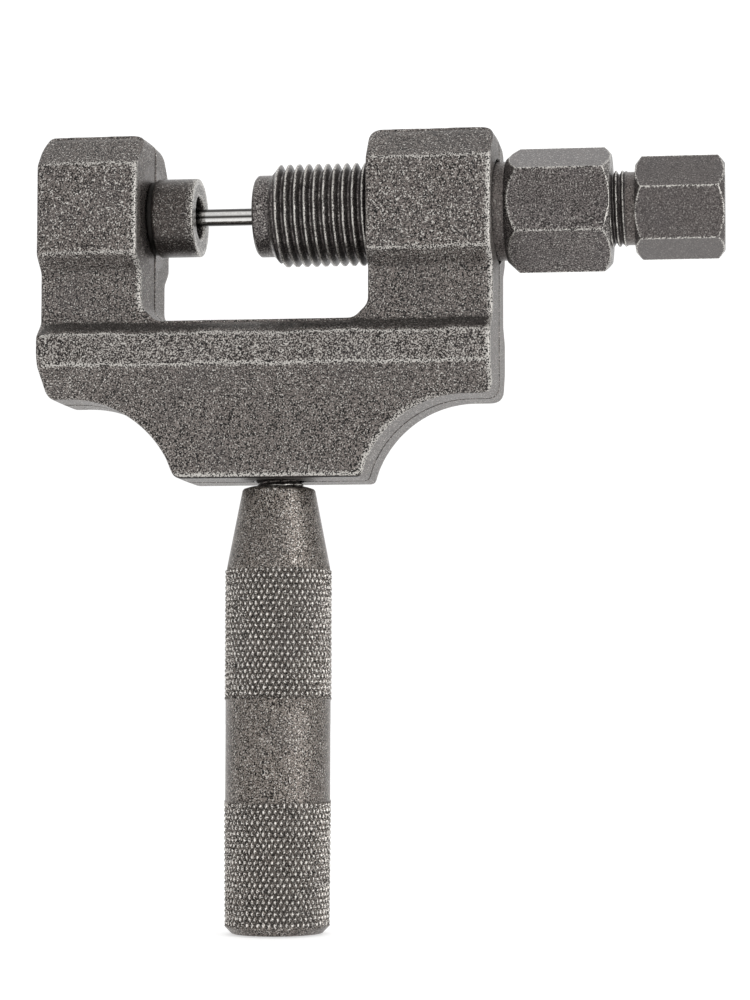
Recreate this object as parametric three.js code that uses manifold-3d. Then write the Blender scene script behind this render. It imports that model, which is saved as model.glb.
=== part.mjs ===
// Screw-type chain tool. A forged C-frame carries an anvil sleeve in one jaw and a hollow drive bolt
// in the other. An inner bolt runs inside the drive bolt and pushes a pin through its nose into the
// anvil. The frame screws onto a knurled handle by a stud.
//
// Millimetres. +Z is up, +X runs along the screw line from the anvil to the drive bolts, and -Y is
// the front. The origin is the centre of the handle's butt.
import * as THREE from "three";
import { mergeVertices } from "three/addons/utils/BufferGeometryUtils.js";
import Module from "manifold-3d";

// ---- Driving dimensions --------------------------------------------------------------------------

const FIT_GAP = 0.3; // between a piece and the hole that holds it
const CUT_OVERRUN = 2; // how far a cutter passes beyond the surface that it opens

// Handle, from the butt up.
const HANDLE_LENGTH = 69;
const KNURL_RADIUS = 8.3;
const PLAIN_BAND_RADIUS = 8.15;
const LOWER_KNURL_TOP = 20.3;
const UPPER_KNURL = { from: 36, to: 56.2 };
const BUTT = { radius: 7.1, chamferHeight: 1.1 };
const SHOULDER = { radius: 5.7, chamfer: 0.6 };

// Stud between the handle and the frame: M8 coarse.
const STUD = { crest: 3.9, root: 3.2, pitch: 1.25, from: 54, to: 83, sides: 14 };

// Forged frame: the front outline.
const BASE_Z = 69.9;
const EAR_BOTTOM = 82.5;
const FRAME_LEFT = -36.4;
const FRAME_RIGHT = 34.55;
const FRAME_TOP = 124;
const SLOT = { left: -20.1, right: 15.1, floor: 94.4, cornerCut: 2.2 };
const LEFT_ARCH = { x: -32, radius: 17.6 };
const RIGHT_ARCH = { x: 30, radius: 16.5 };
const JAW_TOP_ROUND = 2.2;
const LEFT_EAR_ROUND = 3.4;
const RIGHT_EAR_ROUND = 2;

// Forged frame: the side outline, as half thicknesses of the crown, the raised bands and the recesses.
const HALF = { crown: 5, raised: 9.9, recessed: 7.1 };
const JAW_BAND = { top: 118.6, bottom: 104.7, slopeEnd: 102.3 };
const RIB = { slopeStart: 94.4, top: 92, bottom: 87.3, slopeEnd: 82.6 };

// Screw line.
const SCREW_HEIGHT = 111.7;

// Anvil sleeve, from its working face backwards.
const ANVIL = { faceX: -12.7, radius: 6.12, headLength: 6.7, spigotRadius: 4.7, spigotLength: 14.6 };
const RIVET_BORE_RADIUS = 3.3;
const RIVET_EXIT_RADIUS = 3.6;
const ANVIL_EDGE = 0.4;

// Outer drive bolt: M16 fine, 17 mm hexagon. Lengths run from the nose face.
const OUTER = {
  noseX: -3.4,
  noseRadius: 6.38,
  noseLength: 2.6,
  threadEnd: 37,
  neckRadius: 7.65,
  hexStart: 39.3,
  length: 55.5,
  acrossFlats: 16.9,
  hexAngle: Math.PI / 2,
};
const OUTER_THREAD = { crest: 8, root: 7.1, pitch: 1.5, sides: 20 };
const GUIDE_HOLE_RADIUS = 1.65;
const CHAMBER = { from: 7.4, to: 30, radius: 4.3 };

// Inner drive bolt: M12 fine, 14 mm hexagon. Lengths run from the tip of its dog point.
const INNER = {
  tipX: 17.3,
  dogRadius: 3.9,
  dogLength: 12.7,
  threadEnd: 37.2,
  neckRadius: 5.65,
  hexStart: 38.5,
  length: 52.2,
  acrossFlats: 13.8,
  hexAngle: THREE.MathUtils.degToRad(106.7),
};
const INNER_THREAD = { crest: 5.9, root: 5.3, pitch: 1, sides: 18 };

// Push pin, from its tip, and the return spring between its head and the nose.
const PIN = { tipX: -15.5, radius: 1.35, shankLength: 29.5, headRadius: 3.5, headLength: 3 };
const SPRING = { coils: 7, wireRadius: 0.4, meanRadius: 3.45 };

const HEX_CHAMFER_ANGLE = THREE.MathUtils.degToRad(32);
const CUTTER_SIDES = 32;
const ROUND_SIDES = 40;

// ---- Solids --------------------------------------------------------------------------------------

const wasm = await Module();
wasm.setup();

// A closed geometry as a manifold. Slivers that merging leaves on a lathe's axis are dropped.
function solid(geometry) {
  const bare = geometry.clone();
  bare.deleteAttribute("normal");
  bare.deleteAttribute("uv");
  const merged = mergeVertices(bare, 1e-4);
  const corners = merged.index.array;
  const triangles = [];
  for (let i = 0; i < corners.length; i += 3) {
    const [a, b, c] = [corners[i], corners[i + 1], corners[i + 2]];
    if (a !== b && b !== c && c !== a) triangles.push(a, b, c);
  }
  const vertProperties = new Float32Array(merged.attributes.position.array);
  const triVerts = new Uint32Array(triangles);
  return new wasm.Manifold(new wasm.Mesh({ numProp: 3, vertProperties, triVerts }));
}

function geometryOf(manifold) {
  const { vertProperties, triVerts } = manifold.getMesh();
  const geometry = new THREE.BufferGeometry();
  geometry.setAttribute("position", new THREE.BufferAttribute(vertProperties, 3));
  geometry.setIndex(new THREE.BufferAttribute(triVerts, 1));
  geometry.computeVertexNormals();
  return geometry;
}

// A solid of revolution. Each profile point is [distance along the axis, radius], and the profile
// runs from the axis back to the axis.
function turned(profile, sides) {
  const points = profile.map(([along, radius]) => new THREE.Vector2(radius, along));
  return new THREE.LatheGeometry(points, sides);
}

const lieAlongX = (geometry) => geometry.rotateZ(-Math.PI / 2);
const standAlongZ = (geometry) => geometry.rotateX(Math.PI / 2);

function turnedAlongX(profile, sides = ROUND_SIDES) {
  return solid(lieAlongX(turned(profile, sides)));
}

function turnedAlongZ(profile, sides = ROUND_SIDES) {
  return solid(standAlongZ(turned(profile, sides)));
}

// A plain round cutter or bar, as a turning profile.
function rod(radius, from, to) {
  return [[from, 0], [from, radius], [to, radius], [to, 0]];
}

// A bar of the given section, drawn in Y and Z, run along X.
function sectionAlongX(shape, from, to) {
  const bar = new THREE.ExtrudeGeometry(shape, { depth: to - from, bevelEnabled: false });
  const y = new THREE.Vector3(0, 1, 0);
  const z = new THREE.Vector3(0, 0, 1);
  const x = new THREE.Vector3(1, 0, 0);
  bar.applyMatrix4(new THREE.Matrix4().makeBasis(y, z, x));
  return solid(bar.translate(from, 0, 0));
}

// A hexagon bar along X whose corners are turned off by a chamfer at both ends.
function hexagonBar({ acrossFlats, hexAngle, hexStart, length }) {
  const cornerRadius = acrossFlats / Math.sqrt(3);
  const shape = new THREE.Shape();
  for (let k = 0; k < 6; k += 1) {
    const angle = hexAngle + (k * Math.PI) / 3;
    const [y, z] = [cornerRadius * Math.cos(angle), cornerRadius * Math.sin(angle)];
    if (k === 0) shape.moveTo(y, z);
    else shape.lineTo(y, z);
  }
  const faceRadius = acrossFlats * 0.475;
  const outside = cornerRadius + 1;
  const run = (outside - faceRadius) * Math.tan(HEX_CHAMFER_ANGLE);
  const envelope = turnedAlongX([
    [hexStart, 0],
    [hexStart, faceRadius],
    [hexStart + run, outside],
    [length - run, outside],
    [length, faceRadius],
    [length, 0],
  ]);
  return sectionAlongX(shape, hexStart, length).intersect(envelope);
}

// A helical V ridge of crest and root lines around +Y, from one turn below `from` to one above `to`.
// Row k + 2 starts where row k ends, so the rows make one surface, and a fan closes each end.
function threadSurface({ crest, root, pitch, sides }, from, to) {
  const rows = 2 * Math.ceil((to - from) / pitch + 3);
  const start = from - 1.5 * pitch;
  const positions = [];
  for (let k = 0; k <= rows + 2; k += 1) {
    for (let i = 0; i < sides; i += 1) {
      const angle = (2 * Math.PI * i) / sides;
      const radius = k % 2 ? crest : root;
      const along = start + pitch * (k / 2 + i / sides);
      positions.push(radius * Math.cos(angle), along, -radius * Math.sin(angle));
    }
  }
  const vertex = (i, k) => (i < sides ? k * sides + i : (k + 2) * sides);
  const index = [];
  for (let k = 0; k < rows; k += 1) {
    for (let i = 0; i < sides; i += 1) {
      index.push(vertex(i, k), vertex(i + 1, k), vertex(i + 1, k + 1));
      index.push(vertex(i, k), vertex(i + 1, k + 1), vertex(i, k + 1));
    }
  }
  const addFan = (row, along, outward) => {
    const centre = positions.length / 3;
    positions.push(0, along, 0);
    const loop = [];
    for (let i = 0; i < sides; i += 1) loop.push(vertex(i, row));
    loop.push(vertex(0, row + 2), vertex(0, row + 1));
    loop.forEach((a, n) => {
      const b = loop[(n + 1) % loop.length];
      index.push(...(outward ? [centre, a, b] : [centre, b, a]));
    });
  };
  addFan(0, start + pitch / 2, false);
  addFan(rows, start + pitch * (rows / 2 + 1 / 2), true);
  const geometry = new THREE.BufferGeometry();
  geometry.setAttribute("position", new THREE.Float32BufferAttribute(positions, 3));
  geometry.setIndex(index);
  return geometry;
}

// A threaded length with both ends chamfered down to the root.
function threadedEnvelope({ crest, root }, from, to) {
  const outside = crest + 0.2;
  const chamfer = outside - root;
  return [
    [from, 0],
    [from, root],
    [from + chamfer, outside],
    [to - chamfer, outside],
    [to, root],
    [to, 0],
  ];
}

function threadAlongX(thread, from, to) {
  const ridge = solid(lieAlongX(threadSurface(thread, from, to)));
  return ridge.intersect(turnedAlongX(threadedEnvelope(thread, from, to)));
}

// ---- Pieces --------------------------------------------------------------------------------------

// The outline of the frame seen from the front, drawn in X and Z, clockwise from the left end of the
// base, which is the line that closes it.
function frontOutline() {
  const shape = new THREE.Shape();
  const leftArchZ = EAR_BOTTOM - LEFT_ARCH.radius;
  const leftStart = Math.asin((BASE_Z - leftArchZ) / LEFT_ARCH.radius);
  shape.absarc(LEFT_ARCH.x, leftArchZ, LEFT_ARCH.radius, leftStart, Math.PI / 2, false);
  shape.lineTo(FRAME_LEFT + LEFT_EAR_ROUND, EAR_BOTTOM);
  shape.quadraticCurveTo(FRAME_LEFT, EAR_BOTTOM, FRAME_LEFT, EAR_BOTTOM + LEFT_EAR_ROUND);
  jawTop(shape, FRAME_LEFT, SLOT.left);
  shape.lineTo(SLOT.left, SLOT.floor + SLOT.cornerCut);
  shape.lineTo(SLOT.left + SLOT.cornerCut, SLOT.floor);
  shape.lineTo(SLOT.right - SLOT.cornerCut, SLOT.floor);
  shape.lineTo(SLOT.right, SLOT.floor + SLOT.cornerCut);
  jawTop(shape, SLOT.right, FRAME_RIGHT);
  shape.lineTo(FRAME_RIGHT, EAR_BOTTOM + RIGHT_EAR_ROUND);
  shape.quadraticCurveTo(FRAME_RIGHT, EAR_BOTTOM, FRAME_RIGHT - RIGHT_EAR_ROUND, EAR_BOTTOM);
  const rightArchZ = EAR_BOTTOM - RIGHT_ARCH.radius;
  const rightRise = Math.asin((BASE_Z - rightArchZ) / RIGHT_ARCH.radius);
  const rightEnd = Math.PI - rightRise;
  shape.absarc(RIGHT_ARCH.x, rightArchZ, RIGHT_ARCH.radius, Math.PI / 2, rightEnd, false);
  return shape;
}

// Goes up a jaw's left side, over its rounded top and on to its right side.
function jawTop(shape, left, right) {
  const shoulder = FRAME_TOP - JAW_TOP_ROUND;
  shape.lineTo(left, shoulder);
  shape.quadraticCurveTo(left, FRAME_TOP, left + JAW_TOP_ROUND, FRAME_TOP);
  shape.lineTo(right - JAW_TOP_ROUND, FRAME_TOP);
  shape.quadraticCurveTo(right, FRAME_TOP, right, shoulder);
}

// The outline seen from the side, drawn in Y and Z: a crown, a raised jaw band, a recess, a raised
// rib and a recessed base, the same at the front and the back.
function sideOutline() {
  const rightSide = [
    [HALF.recessed, BASE_Z],
    [HALF.recessed, RIB.slopeEnd],
    [HALF.raised, RIB.bottom],
    [HALF.raised, RIB.top],
    [HALF.recessed, RIB.slopeStart],
    [HALF.recessed, JAW_BAND.slopeEnd],
    [HALF.raised, JAW_BAND.bottom],
    [HALF.raised, JAW_BAND.top],
    [HALF.crown, FRAME_TOP],
  ];
  const leftSide = rightSide.map(([y, z]) => [-y, z]).reverse();
  return new THREE.Shape([...rightSide, ...leftSide].map(([y, z]) => new THREE.Vector2(y, z)));
}

function forgedFrame() {
  const depth = 2 * HALF.raised + 2;
  const outline = new THREE.ExtrudeGeometry(frontOutline(), {
    depth,
    bevelEnabled: false,
    curveSegments: 8,
  });
  outline.rotateX(Math.PI / 2);
  outline.translate(0, depth / 2, 0);
  const blank = solid(outline).intersect(sectionAlongX(sideOutline(), FRAME_LEFT - 1, FRAME_RIGHT + 1));

  const spigotEnd = ANVIL.faceX - ANVIL.headLength - ANVIL.spigotLength;
  const crossCuts = [
    rod(ANVIL.spigotRadius + FIT_GAP, spigotEnd - FIT_GAP, SLOT.left + CUT_OVERRUN),
    rod(RIVET_EXIT_RADIUS, FRAME_LEFT - CUT_OVERRUN, spigotEnd),
    rod(OUTER_THREAD.crest + FIT_GAP, SLOT.right - CUT_OVERRUN, FRAME_RIGHT + CUT_OVERRUN),
  ];
  const studHole = turnedAlongZ(
    rod(STUD.crest + FIT_GAP, BASE_Z - CUT_OVERRUN, STUD.to + FIT_GAP),
    CUTTER_SIDES,
  );
  return crossCuts
    .map((profile) => turnedAlongX(profile, CUTTER_SIDES).translate([0, 0, SCREW_HEIGHT]))
    .reduce((body, cut) => body.subtract(cut), blank.subtract(studHole));
}

// Local x = 0 is the working face, and the sleeve runs towards -X.
function anvilSleeve() {
  const back = -ANVIL.headLength - ANVIL.spigotLength;
  const sleeve = turnedAlongX([
    [back, 0],
    [back, ANVIL.spigotRadius],
    [-ANVIL.headLength, ANVIL.spigotRadius],
    [-ANVIL.headLength, ANVIL.radius - ANVIL_EDGE],
    [-ANVIL.headLength + ANVIL_EDGE, ANVIL.radius],
    [-ANVIL_EDGE, ANVIL.radius],
    [0, ANVIL.radius - ANVIL_EDGE],
    [0, 0],
  ]);
  const bore = turnedAlongX([
    [back - CUT_OVERRUN, 0],
    [back - CUT_OVERRUN, RIVET_BORE_RADIUS],
    [-ANVIL_EDGE, RIVET_BORE_RADIUS],
    [CUT_OVERRUN, RIVET_BORE_RADIUS + ANVIL_EDGE + CUT_OVERRUN],
    [CUT_OVERRUN, 0],
  ]);
  return sleeve.subtract(bore);
}

// Local x = 0 is the nose face, and the bolt runs towards +X.
function outerDriveBolt() {
  const noseEdge = 0.5;
  const nose = turnedAlongX([
    [0, 0],
    [0, OUTER.noseRadius - noseEdge],
    [noseEdge, OUTER.noseRadius],
    [OUTER.noseLength + 1, OUTER.noseRadius],
    [OUTER.noseLength + 1, 0],
  ]);
  const neck = turnedAlongX(rod(OUTER.neckRadius, OUTER.threadEnd - 1, OUTER.hexStart + 1));
  const cavity = turnedAlongX([
    [-CUT_OVERRUN, 0],
    [-CUT_OVERRUN, GUIDE_HOLE_RADIUS],
    [CHAMBER.from, GUIDE_HOLE_RADIUS],
    [CHAMBER.from, CHAMBER.radius],
    [CHAMBER.to, CHAMBER.radius],
    [CHAMBER.to, INNER_THREAD.crest + FIT_GAP],
    [OUTER.length + CUT_OVERRUN, INNER_THREAD.crest + FIT_GAP],
    [OUTER.length + CUT_OVERRUN, 0],
  ], CUTTER_SIDES);
  return threadAlongX(OUTER_THREAD, OUTER.noseLength, OUTER.threadEnd)
    .add(nose)
    .add(neck)
    .add(hexagonBar(OUTER))
    .subtract(cavity);
}

// Local x = 0 is the tip of the dog point, and the bolt runs towards +X.
function innerDriveBolt() {
  const tipEdge = 0.5;
  const dog = turnedAlongX([
    [0, 0],
    [0, INNER.dogRadius - tipEdge],
    [tipEdge, INNER.dogRadius],
    [INNER.dogLength + 1, INNER.dogRadius],
    [INNER.dogLength + 1, 0],
  ], CUTTER_SIDES);
  const neck = turnedAlongX(rod(INNER.neckRadius, INNER.threadEnd - 1, INNER.hexStart + 1));
  return threadAlongX(INNER_THREAD, INNER.dogLength, INNER.threadEnd)
    .add(dog)
    .add(neck)
    .add(hexagonBar(INNER));
}

// Local x = 0 is the pin's tip, and its head is towards +X.
function pushPin() {
  const tipEdge = 0.25;
  const end = PIN.shankLength + PIN.headLength;
  return turnedAlongX([
    [0, 0],
    [0, PIN.radius - tipEdge],
    [tipEdge, PIN.radius],
    [PIN.shankLength, PIN.radius],
    [PIN.shankLength, PIN.headRadius],
    [end, PIN.headRadius],
    [end, 0],
  ], CUTTER_SIDES);
}

// The helix of a coil spring's wire, along +X.
class Helix extends THREE.Curve {
  constructor(radius, coils, length) {
    super();
    Object.assign(this, { radius, coils, length });
  }

  getPoint(t, target = new THREE.Vector3()) {
    const angle = 2 * Math.PI * this.coils * t;
    const y = this.radius * Math.cos(angle);
    const z = this.radius * Math.sin(angle);
    return target.set(this.length * t, y, z);
  }
}

// Local x = 0 is the spring's front end. It fills the chamber from its shoulder to the pin's head.
function returnSpring(length) {
  const wire = new THREE.Shape();
  wire.absarc(0, 0, SPRING.wireRadius, 0, 2 * Math.PI, false);
  const helix = new Helix(SPRING.meanRadius, SPRING.coils, length - 2 * SPRING.wireRadius);
  const coil = new THREE.ExtrudeGeometry(wire, {
    steps: SPRING.coils * 12,
    curveSegments: 3,
    extrudePath: helix,
  });
  return coil.translate(SPRING.wireRadius, 0, 0);
}

// Local z = 0 is the butt.
function knurledHandle() {
  const bar = turnedAlongZ([
    [0, 0],
    [0, BUTT.radius],
    [BUTT.chamferHeight, KNURL_RADIUS],
    [LOWER_KNURL_TOP, KNURL_RADIUS],
    [LOWER_KNURL_TOP, PLAIN_BAND_RADIUS],
    [UPPER_KNURL.from, PLAIN_BAND_RADIUS],
    [UPPER_KNURL.from, KNURL_RADIUS],
    [UPPER_KNURL.to, KNURL_RADIUS],
    [HANDLE_LENGTH - SHOULDER.chamfer, SHOULDER.radius],
    [HANDLE_LENGTH, SHOULDER.radius - SHOULDER.chamfer],
    [HANDLE_LENGTH, 0],
  ]);
  const studHole = rod(STUD.crest + FIT_GAP, STUD.from - FIT_GAP, HANDLE_LENGTH + CUT_OVERRUN);
  return bar.subtract(turnedAlongZ(studHole, CUTTER_SIDES));
}

function handleStud() {
  const thread = solid(standAlongZ(threadSurface(STUD, STUD.from, STUD.to)));
  return thread.intersect(turnedAlongZ(threadedEnvelope(STUD, STUD.from, STUD.to)));
}

// ---- Assembly ------------------------------------------------------------------------------------

function piece(name, shape, look, x = 0) {
  const geometry = shape.isBufferGeometry ? shape : geometryOf(shape);
  const mesh = new THREE.Mesh(geometry, new THREE.MeshStandardMaterial(look));
  mesh.name = name;
  mesh.position.x = x;
  return mesh;
}

const FORGED = { color: 0x6b6562, roughness: 0.62, metalness: 0.7 };
const MACHINED = { color: 0x5c5855, roughness: 0.45, metalness: 0.8 };
const HANDLE_STEEL = { color: 0x736d69, roughness: 0.5, metalness: 0.75 };
const BRIGHT = { color: 0xb9b7b4, roughness: 0.2, metalness: 1 };
const SPRING_STEEL = { color: 0x8b8a88, roughness: 0.35, metalness: 0.9 };

const springStart = OUTER.noseX + CHAMBER.from + FIT_GAP;
const springEnd = PIN.tipX + PIN.shankLength - FIT_GAP;

const screwLine = new THREE.Group();
screwLine.position.z = SCREW_HEIGHT;
screwLine.add(
  piece("anvil_sleeve", anvilSleeve(), MACHINED, ANVIL.faceX),
  piece("outer_drive_bolt", outerDriveBolt(), MACHINED, OUTER.noseX),
  piece("inner_drive_bolt", innerDriveBolt(), MACHINED, INNER.tipX),
  piece("push_pin", pushPin(), BRIGHT, PIN.tipX),
  piece("return_spring", returnSpring(springEnd - springStart), SPRING_STEEL, springStart),
);

const chainTool = new THREE.Group();
chainTool.add(
  piece("forged_frame", forgedFrame(), FORGED),
  piece("handle_stud", handleStud(), MACHINED),
  piece("knurled_handle", knurledHandle(), HANDLE_STEEL),
  screwLine,
);

export default chainTool;
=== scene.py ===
"""Looks for the screw-type chain tool: detailed pieces, materials, lights and camera around the CAD frame.

Shapes are worked out in millimetres and stored in metres. +X runs along the screw line to the
hexagons, +Z is up and -Y is the front.
"""
import math

import bmesh
import bpy
import numpy as np
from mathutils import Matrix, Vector, noise
from mathutils.geometry import delaunay_2d_cdt
from mathutils.kdtree import KDTree


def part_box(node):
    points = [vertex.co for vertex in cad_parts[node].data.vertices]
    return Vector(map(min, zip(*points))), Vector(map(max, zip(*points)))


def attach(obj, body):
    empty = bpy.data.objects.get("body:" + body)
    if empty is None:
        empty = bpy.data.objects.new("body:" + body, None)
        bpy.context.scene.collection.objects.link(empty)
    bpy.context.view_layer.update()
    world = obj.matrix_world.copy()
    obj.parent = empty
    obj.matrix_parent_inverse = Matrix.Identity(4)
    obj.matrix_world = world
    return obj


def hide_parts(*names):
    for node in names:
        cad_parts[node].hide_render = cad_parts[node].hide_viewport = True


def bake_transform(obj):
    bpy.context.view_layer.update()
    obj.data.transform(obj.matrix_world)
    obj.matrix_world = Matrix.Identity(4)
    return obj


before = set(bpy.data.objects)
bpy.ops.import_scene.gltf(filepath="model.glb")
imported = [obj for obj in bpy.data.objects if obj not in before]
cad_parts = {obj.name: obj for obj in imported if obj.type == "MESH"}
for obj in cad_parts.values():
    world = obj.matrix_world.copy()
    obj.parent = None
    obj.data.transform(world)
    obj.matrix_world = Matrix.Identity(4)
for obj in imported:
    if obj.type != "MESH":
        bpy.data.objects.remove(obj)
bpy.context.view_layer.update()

MM = 0.001
TAU = 2 * math.pi


def box_mm(node):
    """A CAD node's lowest and highest corners, in millimetres."""
    low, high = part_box(node)
    return np.array(low) / MM, np.array(high) / MM


def screw_line():
    """A point on the line that the anvil, the pin and both bolts share."""
    low, high = box_mm("anvil_sleeve")
    return (0, 0, (low[2] + high[2]) / 2)


# ---- Camera, floor and light ---------------------------------------------------------------------


def add_camera():
    """A long lens in front of the tool, turned a little to the left and looking a little up."""
    data = bpy.data.cameras.new("camera")
    data.lens = 88.937
    data.sensor_width = 36
    data.shift_x = -0.1052
    data.shift_y = 0.0775
    data.clip_start = 0.01
    yaw = math.radians(6.291)
    pitch = math.radians(2.928)
    forward = Vector((-math.sin(yaw) * math.cos(pitch), math.cos(yaw) * math.cos(pitch), math.sin(pitch)))
    camera = bpy.data.objects.new("camera", data)
    camera.location = (0.07330, -0.37849, 0.03530)
    camera.rotation_euler = forward.to_track_quat("-Z", "Y").to_euler()
    bpy.context.collection.objects.link(camera)
    bpy.context.scene.camera = camera


# Radiance of the studio round the horizon: degrees from the camera's side towards +X, then the level.
HORIZON = [
    (-180, 1.05),
    (-130, 0.95),
    (-108, 0.8),
    (-42, 0.8),
    (-23, 1.0),
    (34, 1.0),
    (47, 3.8),
    (66, 3.8),
    (80, 0.7),
    (132, 0.8),
    (155, 1.0),
    (180, 1.05),
]
OVERHEAD = 0.8
BRIGHTEST = 4.0
# Soft boxes: direction, degrees from the middle where each is still full and where it ends, and the
# radiance that it adds.
SOFT_BOXES = [
    ((0.12, -0.68, 0.73), 6, 20, 0.75),
    ((0.0, 0.5, 0.87), 15, 60, 0.35),
]


class Nodes:
    """Short ways to add nodes to one node tree."""

    def __init__(self, tree):
        self.tree = tree

    def add(self, kind):
        return self.tree.nodes.new(f"ShaderNode{kind}")

    def feed(self, socket, value):
        """Links an output to a socket, or sets the socket to a number or a colour."""
        if isinstance(value, bpy.types.NodeSocket):
            self.tree.links.new(value, socket)
        elif isinstance(value, tuple):
            socket.default_value = (*value, 1)
        else:
            socket.default_value = value

    def math(self, operation, *values):
        node = self.add("Math")
        node.operation = operation
        for socket, value in zip(node.inputs, values):
            self.feed(socket, value)
        return node.outputs[0]

    def spread(self, value, start, end, low, high, smooth=False):
        """Maps the range from start to end onto low to high, and holds it there."""
        node = self.add("MapRange")
        node.interpolation_type = "SMOOTHSTEP" if smooth else "LINEAR"
        for name, number in (("From Min", start), ("From Max", end), ("To Min", low), ("To Max", high)):
            node.inputs[name].default_value = number
        self.feed(node.inputs["Value"], value)
        return node.outputs[0]

    def blend(self, factor, low, high):
        """Mixes two colours."""
        node = self.add("Mix")
        node.data_type = "RGBA"
        self.feed(node.inputs["Factor"], factor)
        for name, value in (("A", low), ("B", high)):
            target = [socket for socket in node.inputs if socket.name == name and socket.type == "RGBA"][0]
            self.feed(target, value)
        return [socket for socket in node.outputs if socket.type == "RGBA"][0]

    def grain(self, size_mm, detail, shift=0):
        """Noise fixed to the object, with grains of about size_mm."""
        mapping = self.add("Mapping")
        mapping.inputs["Scale"].default_value = (1 / (size_mm * MM),) * 3
        mapping.inputs["Location"].default_value = (shift, shift, shift)
        self.feed(mapping.inputs["Vector"], self.add("TexCoord").outputs["Object"])
        node = self.add("TexNoise")
        node.inputs["Scale"].default_value = 1
        node.inputs["Detail"].default_value = detail
        node.inputs["Roughness"].default_value = 0.6
        self.feed(node.inputs["Vector"], mapping.outputs[0])
        return node.outputs["Fac"]


def horizon_glow(nodes, split):
    """The radiance round the horizon, by the angle from the camera's side."""
    turn = nodes.math("ARCTAN2", split.outputs["X"], nodes.math("MULTIPLY", split.outputs["Y"], -1))
    ramp = nodes.add("ValToRGB")
    stops = ramp.color_ramp.elements
    while len(stops) < len(HORIZON):
        stops.new(0.5)
    for stop, (degrees, level) in zip(stops, HORIZON):
        stop.position = degrees / 360 + 0.5
        stop.color = (level / BRIGHTEST,) * 3 + (1,)
    nodes.feed(ramp.inputs["Fac"], nodes.math("MULTIPLY_ADD", turn, 1 / TAU, 0.5))
    return nodes.math("MULTIPLY", ramp.outputs["Color"], BRIGHTEST)


def add_world():
    """A studio that is white to the camera and lights the tool by HORIZON, OVERHEAD and SOFT_BOXES."""
    world = bpy.data.worlds.new("studio")
    world.use_nodes = True
    world.node_tree.nodes.clear()
    nodes = Nodes(world.node_tree)
    direction = nodes.add("TexCoord").outputs["Generated"]
    split = nodes.add("SeparateXYZ")
    nodes.feed(split.inputs[0], direction)
    overhead = nodes.spread(split.outputs["Z"], 0.2, 0.95, 0, 1, smooth=True)
    level_glow = nodes.math("MULTIPLY", horizon_glow(nodes, split), nodes.math("SUBTRACT", 1, overhead))
    glow = nodes.math("MULTIPLY_ADD", overhead, OVERHEAD, level_glow)
    for aim, full, none, level in SOFT_BOXES:
        dot = nodes.add("VectorMath")
        dot.operation = "DOT_PRODUCT"
        dot.inputs[1].default_value = Vector(aim).normalized()
        nodes.feed(dot.inputs[0], direction)
        edge, middle = math.cos(math.radians(none)), math.cos(math.radians(full))
        added = nodes.spread(dot.outputs["Value"], edge, middle, 0, level, smooth=True)
        glow = nodes.math("ADD", glow, added)
    seen = nodes.math("MAXIMUM", glow, nodes.add("LightPath").outputs["Is Camera Ray"])
    sky = nodes.add("Background")
    nodes.feed(sky.inputs["Color"], (1, 1, 1))
    nodes.feed(sky.inputs["Strength"], seen)
    nodes.feed(nodes.add("OutputWorld").inputs["Surface"], sky.outputs[0])
    bpy.context.scene.world = world


def add_floor():
    """A wide pale disc just under the handle's end."""
    radius, sides, drop = 4.0, 64, 0.0002
    turns = [TAU * k / sides for k in range(sides)]
    mesh = bpy.data.meshes.new("floor")
    ring = [(radius * math.cos(t), radius * math.sin(t), 0) for t in turns]
    mesh.from_pydata(ring, [], [tuple(range(sides))])
    floor = bpy.data.objects.new("floor", mesh)
    floor.location.z = -drop
    bpy.context.collection.objects.link(floor)
    material = bpy.data.materials.new("pale_floor")
    material.use_nodes = True
    shader = material.node_tree.nodes["Principled BSDF"]
    shader.inputs["Base Color"].default_value = (0.55, 0.55, 0.55, 1)
    shader.inputs["Roughness"].default_value = 0.9
    shader.inputs["Emission Color"].default_value = (1, 1, 1, 1)
    shader.inputs["Emission Strength"].default_value = 0.56
    mesh.materials.append(material)


# ---- Meshes --------------------------------------------------------------------------------------

# Relief is the attribute for worn edges, painted highlights, and painted shade and darkening in grooves.
BRIGHT_WEAR_AND_HIGHLIGHT, PLAIN, DARK = 1.0, 0.5, 0.0
# Points nearer to each other than this, in metres, become one.
WELD = 1e-7
# The spacing of rows along a profile where it gives none.
ROW_STEP = 1.2
# The share of a ridge's triangle wave that its flat crest takes at the top, and its root at the bottom.
THREAD_FLAT = 0.17


def build_object(name, verts_mm, faces, relief, crease_degrees=35):
    """An object from points in millimetres, with a relief at each point."""
    mesh = bpy.data.meshes.new(name)
    mesh.from_pydata((verts_mm * MM).tolist(), [], faces)
    layer = mesh.attributes.new("relief", "FLOAT", "POINT")
    layer.data.foreach_set("value", relief.astype(np.float32))
    work = bmesh.new()
    work.from_mesh(mesh)
    bmesh.ops.remove_doubles(work, verts=work.verts, dist=WELD)
    bmesh.ops.dissolve_degenerate(work, edges=work.edges, dist=WELD)
    bmesh.ops.recalc_face_normals(work, faces=work.faces)
    work.to_mesh(mesh)
    work.free()
    finish_shading(mesh, crease_degrees)
    thing = bpy.data.objects.new(name, mesh)
    bpy.context.collection.objects.link(thing)
    return thing


def finish_shading(mesh, crease_degrees):
    """Smooth shading that breaks at edges sharper than crease_degrees."""
    mesh.shade_smooth()
    mesh.set_sharp_from_angle(angle=math.radians(crease_degrees))


def place(thing, node, body, slot, *materials):
    """Gives an object its materials and its body, and hides the CAD node that it stands for. slot is not
    used.
    """
    for material in materials:
        thing.data.materials.append(material)
    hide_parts(node)
    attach(thing, body)


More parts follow.
